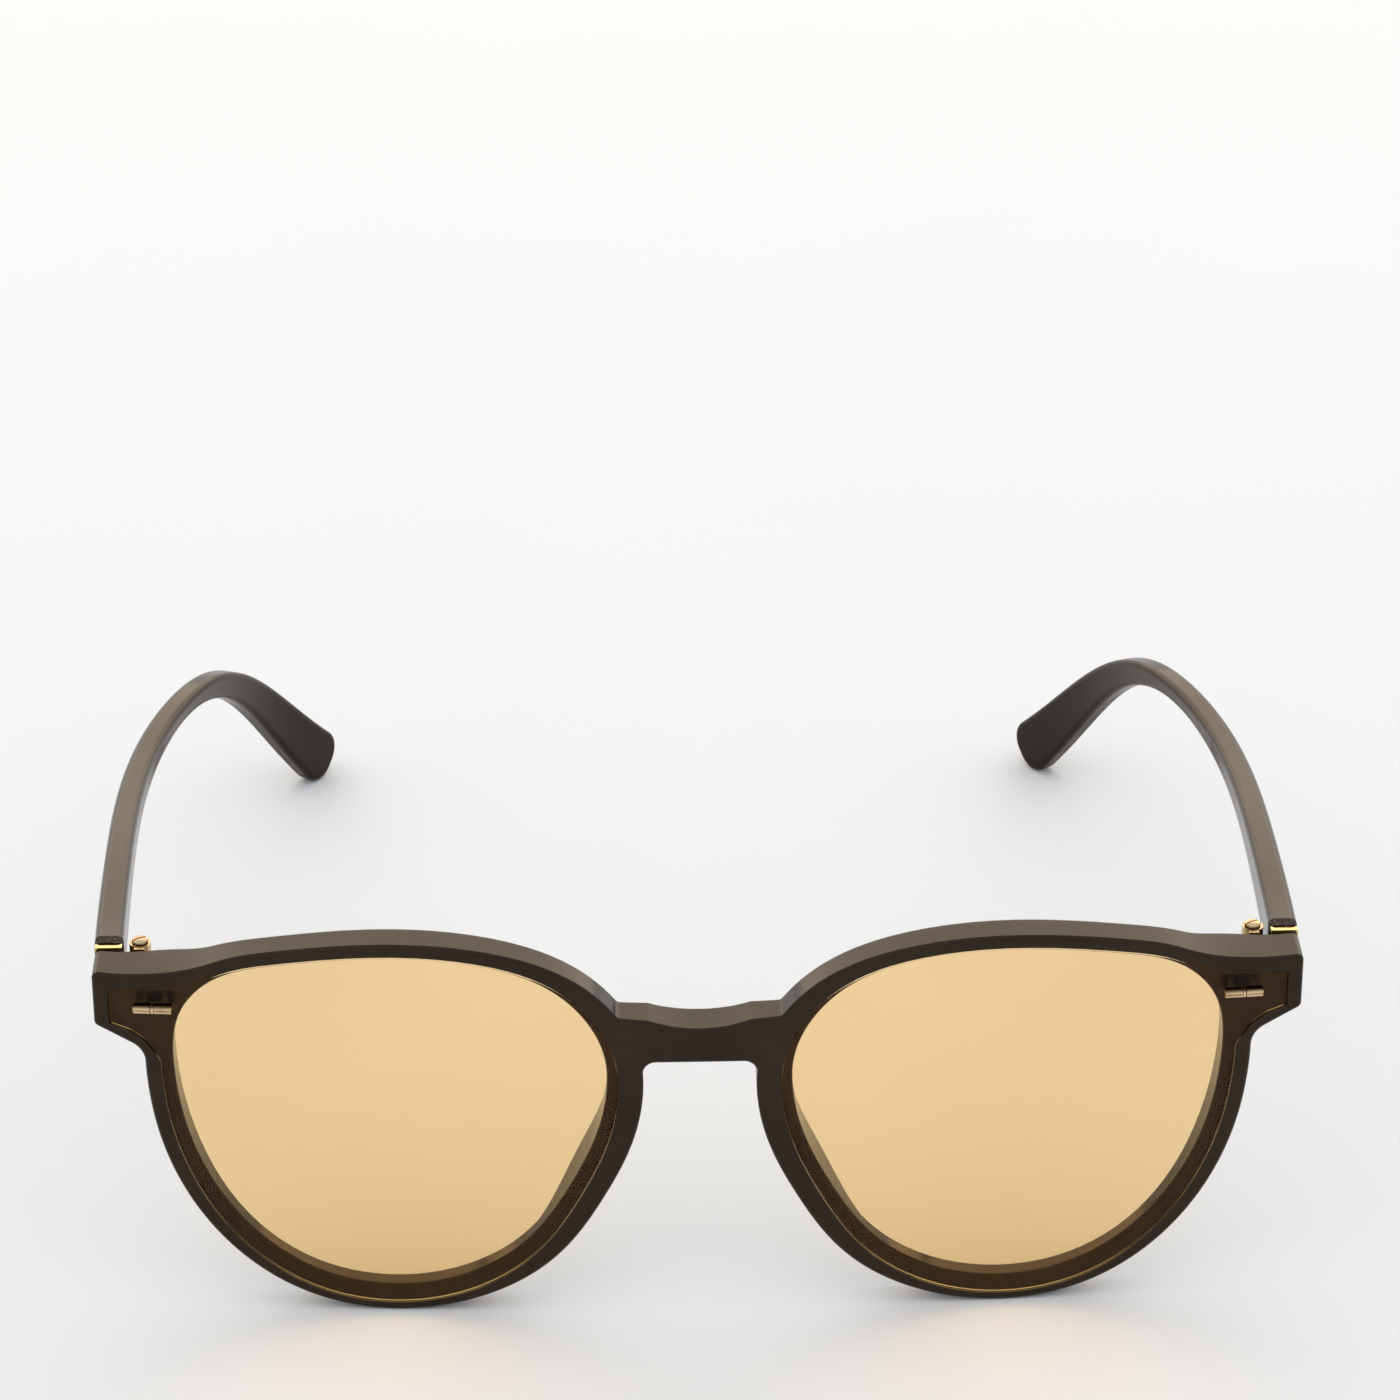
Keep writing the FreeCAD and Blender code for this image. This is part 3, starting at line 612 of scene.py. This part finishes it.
class SUNGLASSES_OT_stage(bpy.types.Operator):
    """Lay the pale floor, hang the soft lights and set the camera"""
    bl_idname = "sunglasses.stage"
    bl_label = "Stage"

    def execute(self, context):
        stage = context.scene.sunglasses_stage
        lay_floor(tuple(stage.floor_colour))
        hang_lights(context.scene)
        set_camera(context.scene, stage)
        return {"FINISHED"}


def lay_floor(colour):
    """A plain matt floor, far wider than the view."""
    mesh = bmesh.new()
    bmesh.ops.create_grid(mesh, x_segments=1, y_segments=1, size=FLOOR_REACH)
    data = bpy.data.meshes.new("floor")
    mesh.to_mesh(data)
    mesh.free()
    board = Board("floor_paper", Roughness=1.0, Specular_IOR_Level=0.0)
    tone = board.ramp(board.noise(scale=12.0), (0.3, shade(colour, 0.99)), (0.7, colour))
    data.materials.append(board.feed(Base_Color=tone))
    floor = bpy.data.objects.new("floor", data)
    floor.location.z = -FLOOR_DROP
    bpy.context.scene.collection.objects.link(floor)


def hang_lights(scene):
    """A bright even room, and the soft panels: a large one above and behind, and one above the camera."""
    world = bpy.data.worlds.new("studio_room")
    world.use_nodes = True
    background = world.node_tree.nodes["Background"].inputs
    background["Color"].default_value = (1.0, 1.0, 1.0, 1.0)
    background["Strength"].default_value = ROOM_STRENGTH
    scene.world = world
    scene.view_settings.view_transform = "Standard"
    for name, place, width, height, power, colour in PANELS:
        data = bpy.data.lights.new(name, "AREA")
        data.shape = "RECTANGLE"
        data.size, data.size_y = width, height
        data.energy = power
        data.color = colour
        light = bpy.data.objects.new(name, data)
        light.location = place
        light.visible_camera = False
        light.rotation_euler = (-Vector(place)).to_track_quat("-Z", "Y").to_euler()
        scene.collection.objects.link(light)


def set_camera(scene, stage):
    """Aims the camera from in front and above, with the whole object in view."""
    face = Vector((0.0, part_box("front_frame")[0].y, 0.0))
    data = bpy.data.cameras.new("camera")
    data.sensor_width = 36.0
    data.lens = stage.lens_mm
    data.clip_start = 0.01
    camera = bpy.data.objects.new("camera", data)
    camera.location = face + CAMERA_STAND
    aim = Matrix.Rotation(-stage.turn, 4, "Z") @ Matrix.Rotation(math.radians(90) - stage.tilt, 4, "X")
    camera.rotation_euler = (aim @ Matrix.Rotation(-stage.roll, 4, "Z")).to_euler()
    scene.collection.objects.link(camera)
    scene.camera = camera


class SUNGLASSES_PT_panel(bpy.types.Panel):
    """Lists the sizes, the colours and the pieces"""
    bl_label = "Sunglasses"
    bl_idname = "SUNGLASSES_PT_panel"
    bl_space_type = "VIEW_3D"
    bl_region_type = "UI"
    bl_category = "Sunglasses"

    def draw(self, context):
        for group in GROUPS:
            settings = getattr(context.scene, group)
            column = self.layout.column(align=True)
            for name in settings.__annotations__:
                column.prop(settings, name)
        for operator in OPERATORS:
            self.layout.operator(operator.bl_idname)


GROUPS = {"sunglasses_finish": SunglassesFinish, "sunglasses_rivet": SunglassesRivet,
          "sunglasses_screw": SunglassesScrew, "sunglasses_stage": SunglassesStage}
OPERATORS = [SUNGLASSES_OT_stage, SUNGLASSES_OT_front, SUNGLASSES_OT_lenses, SUNGLASSES_OT_hinges,
             SUNGLASSES_OT_screws, SUNGLASSES_OT_rivets, SUNGLASSES_OT_temples]
CLASSES = [*GROUPS.values(), *OPERATORS, SUNGLASSES_PT_panel]


def register():
    for item in CLASSES:
        bpy.utils.register_class(item)
    for name, group in GROUPS.items():
        setattr(bpy.types.Scene, name, bpy.props.PointerProperty(type=group))


def unregister():
    for name in GROUPS:
        delattr(bpy.types.Scene, name)
    for item in reversed(CLASSES):
        bpy.utils.unregister_class(item)


def main():
    register()
    for operator in OPERATORS:
        group, name = operator.bl_idname.split(".")
        getattr(getattr(bpy.ops, group), name)()


if __name__ == "__main__":
    main()
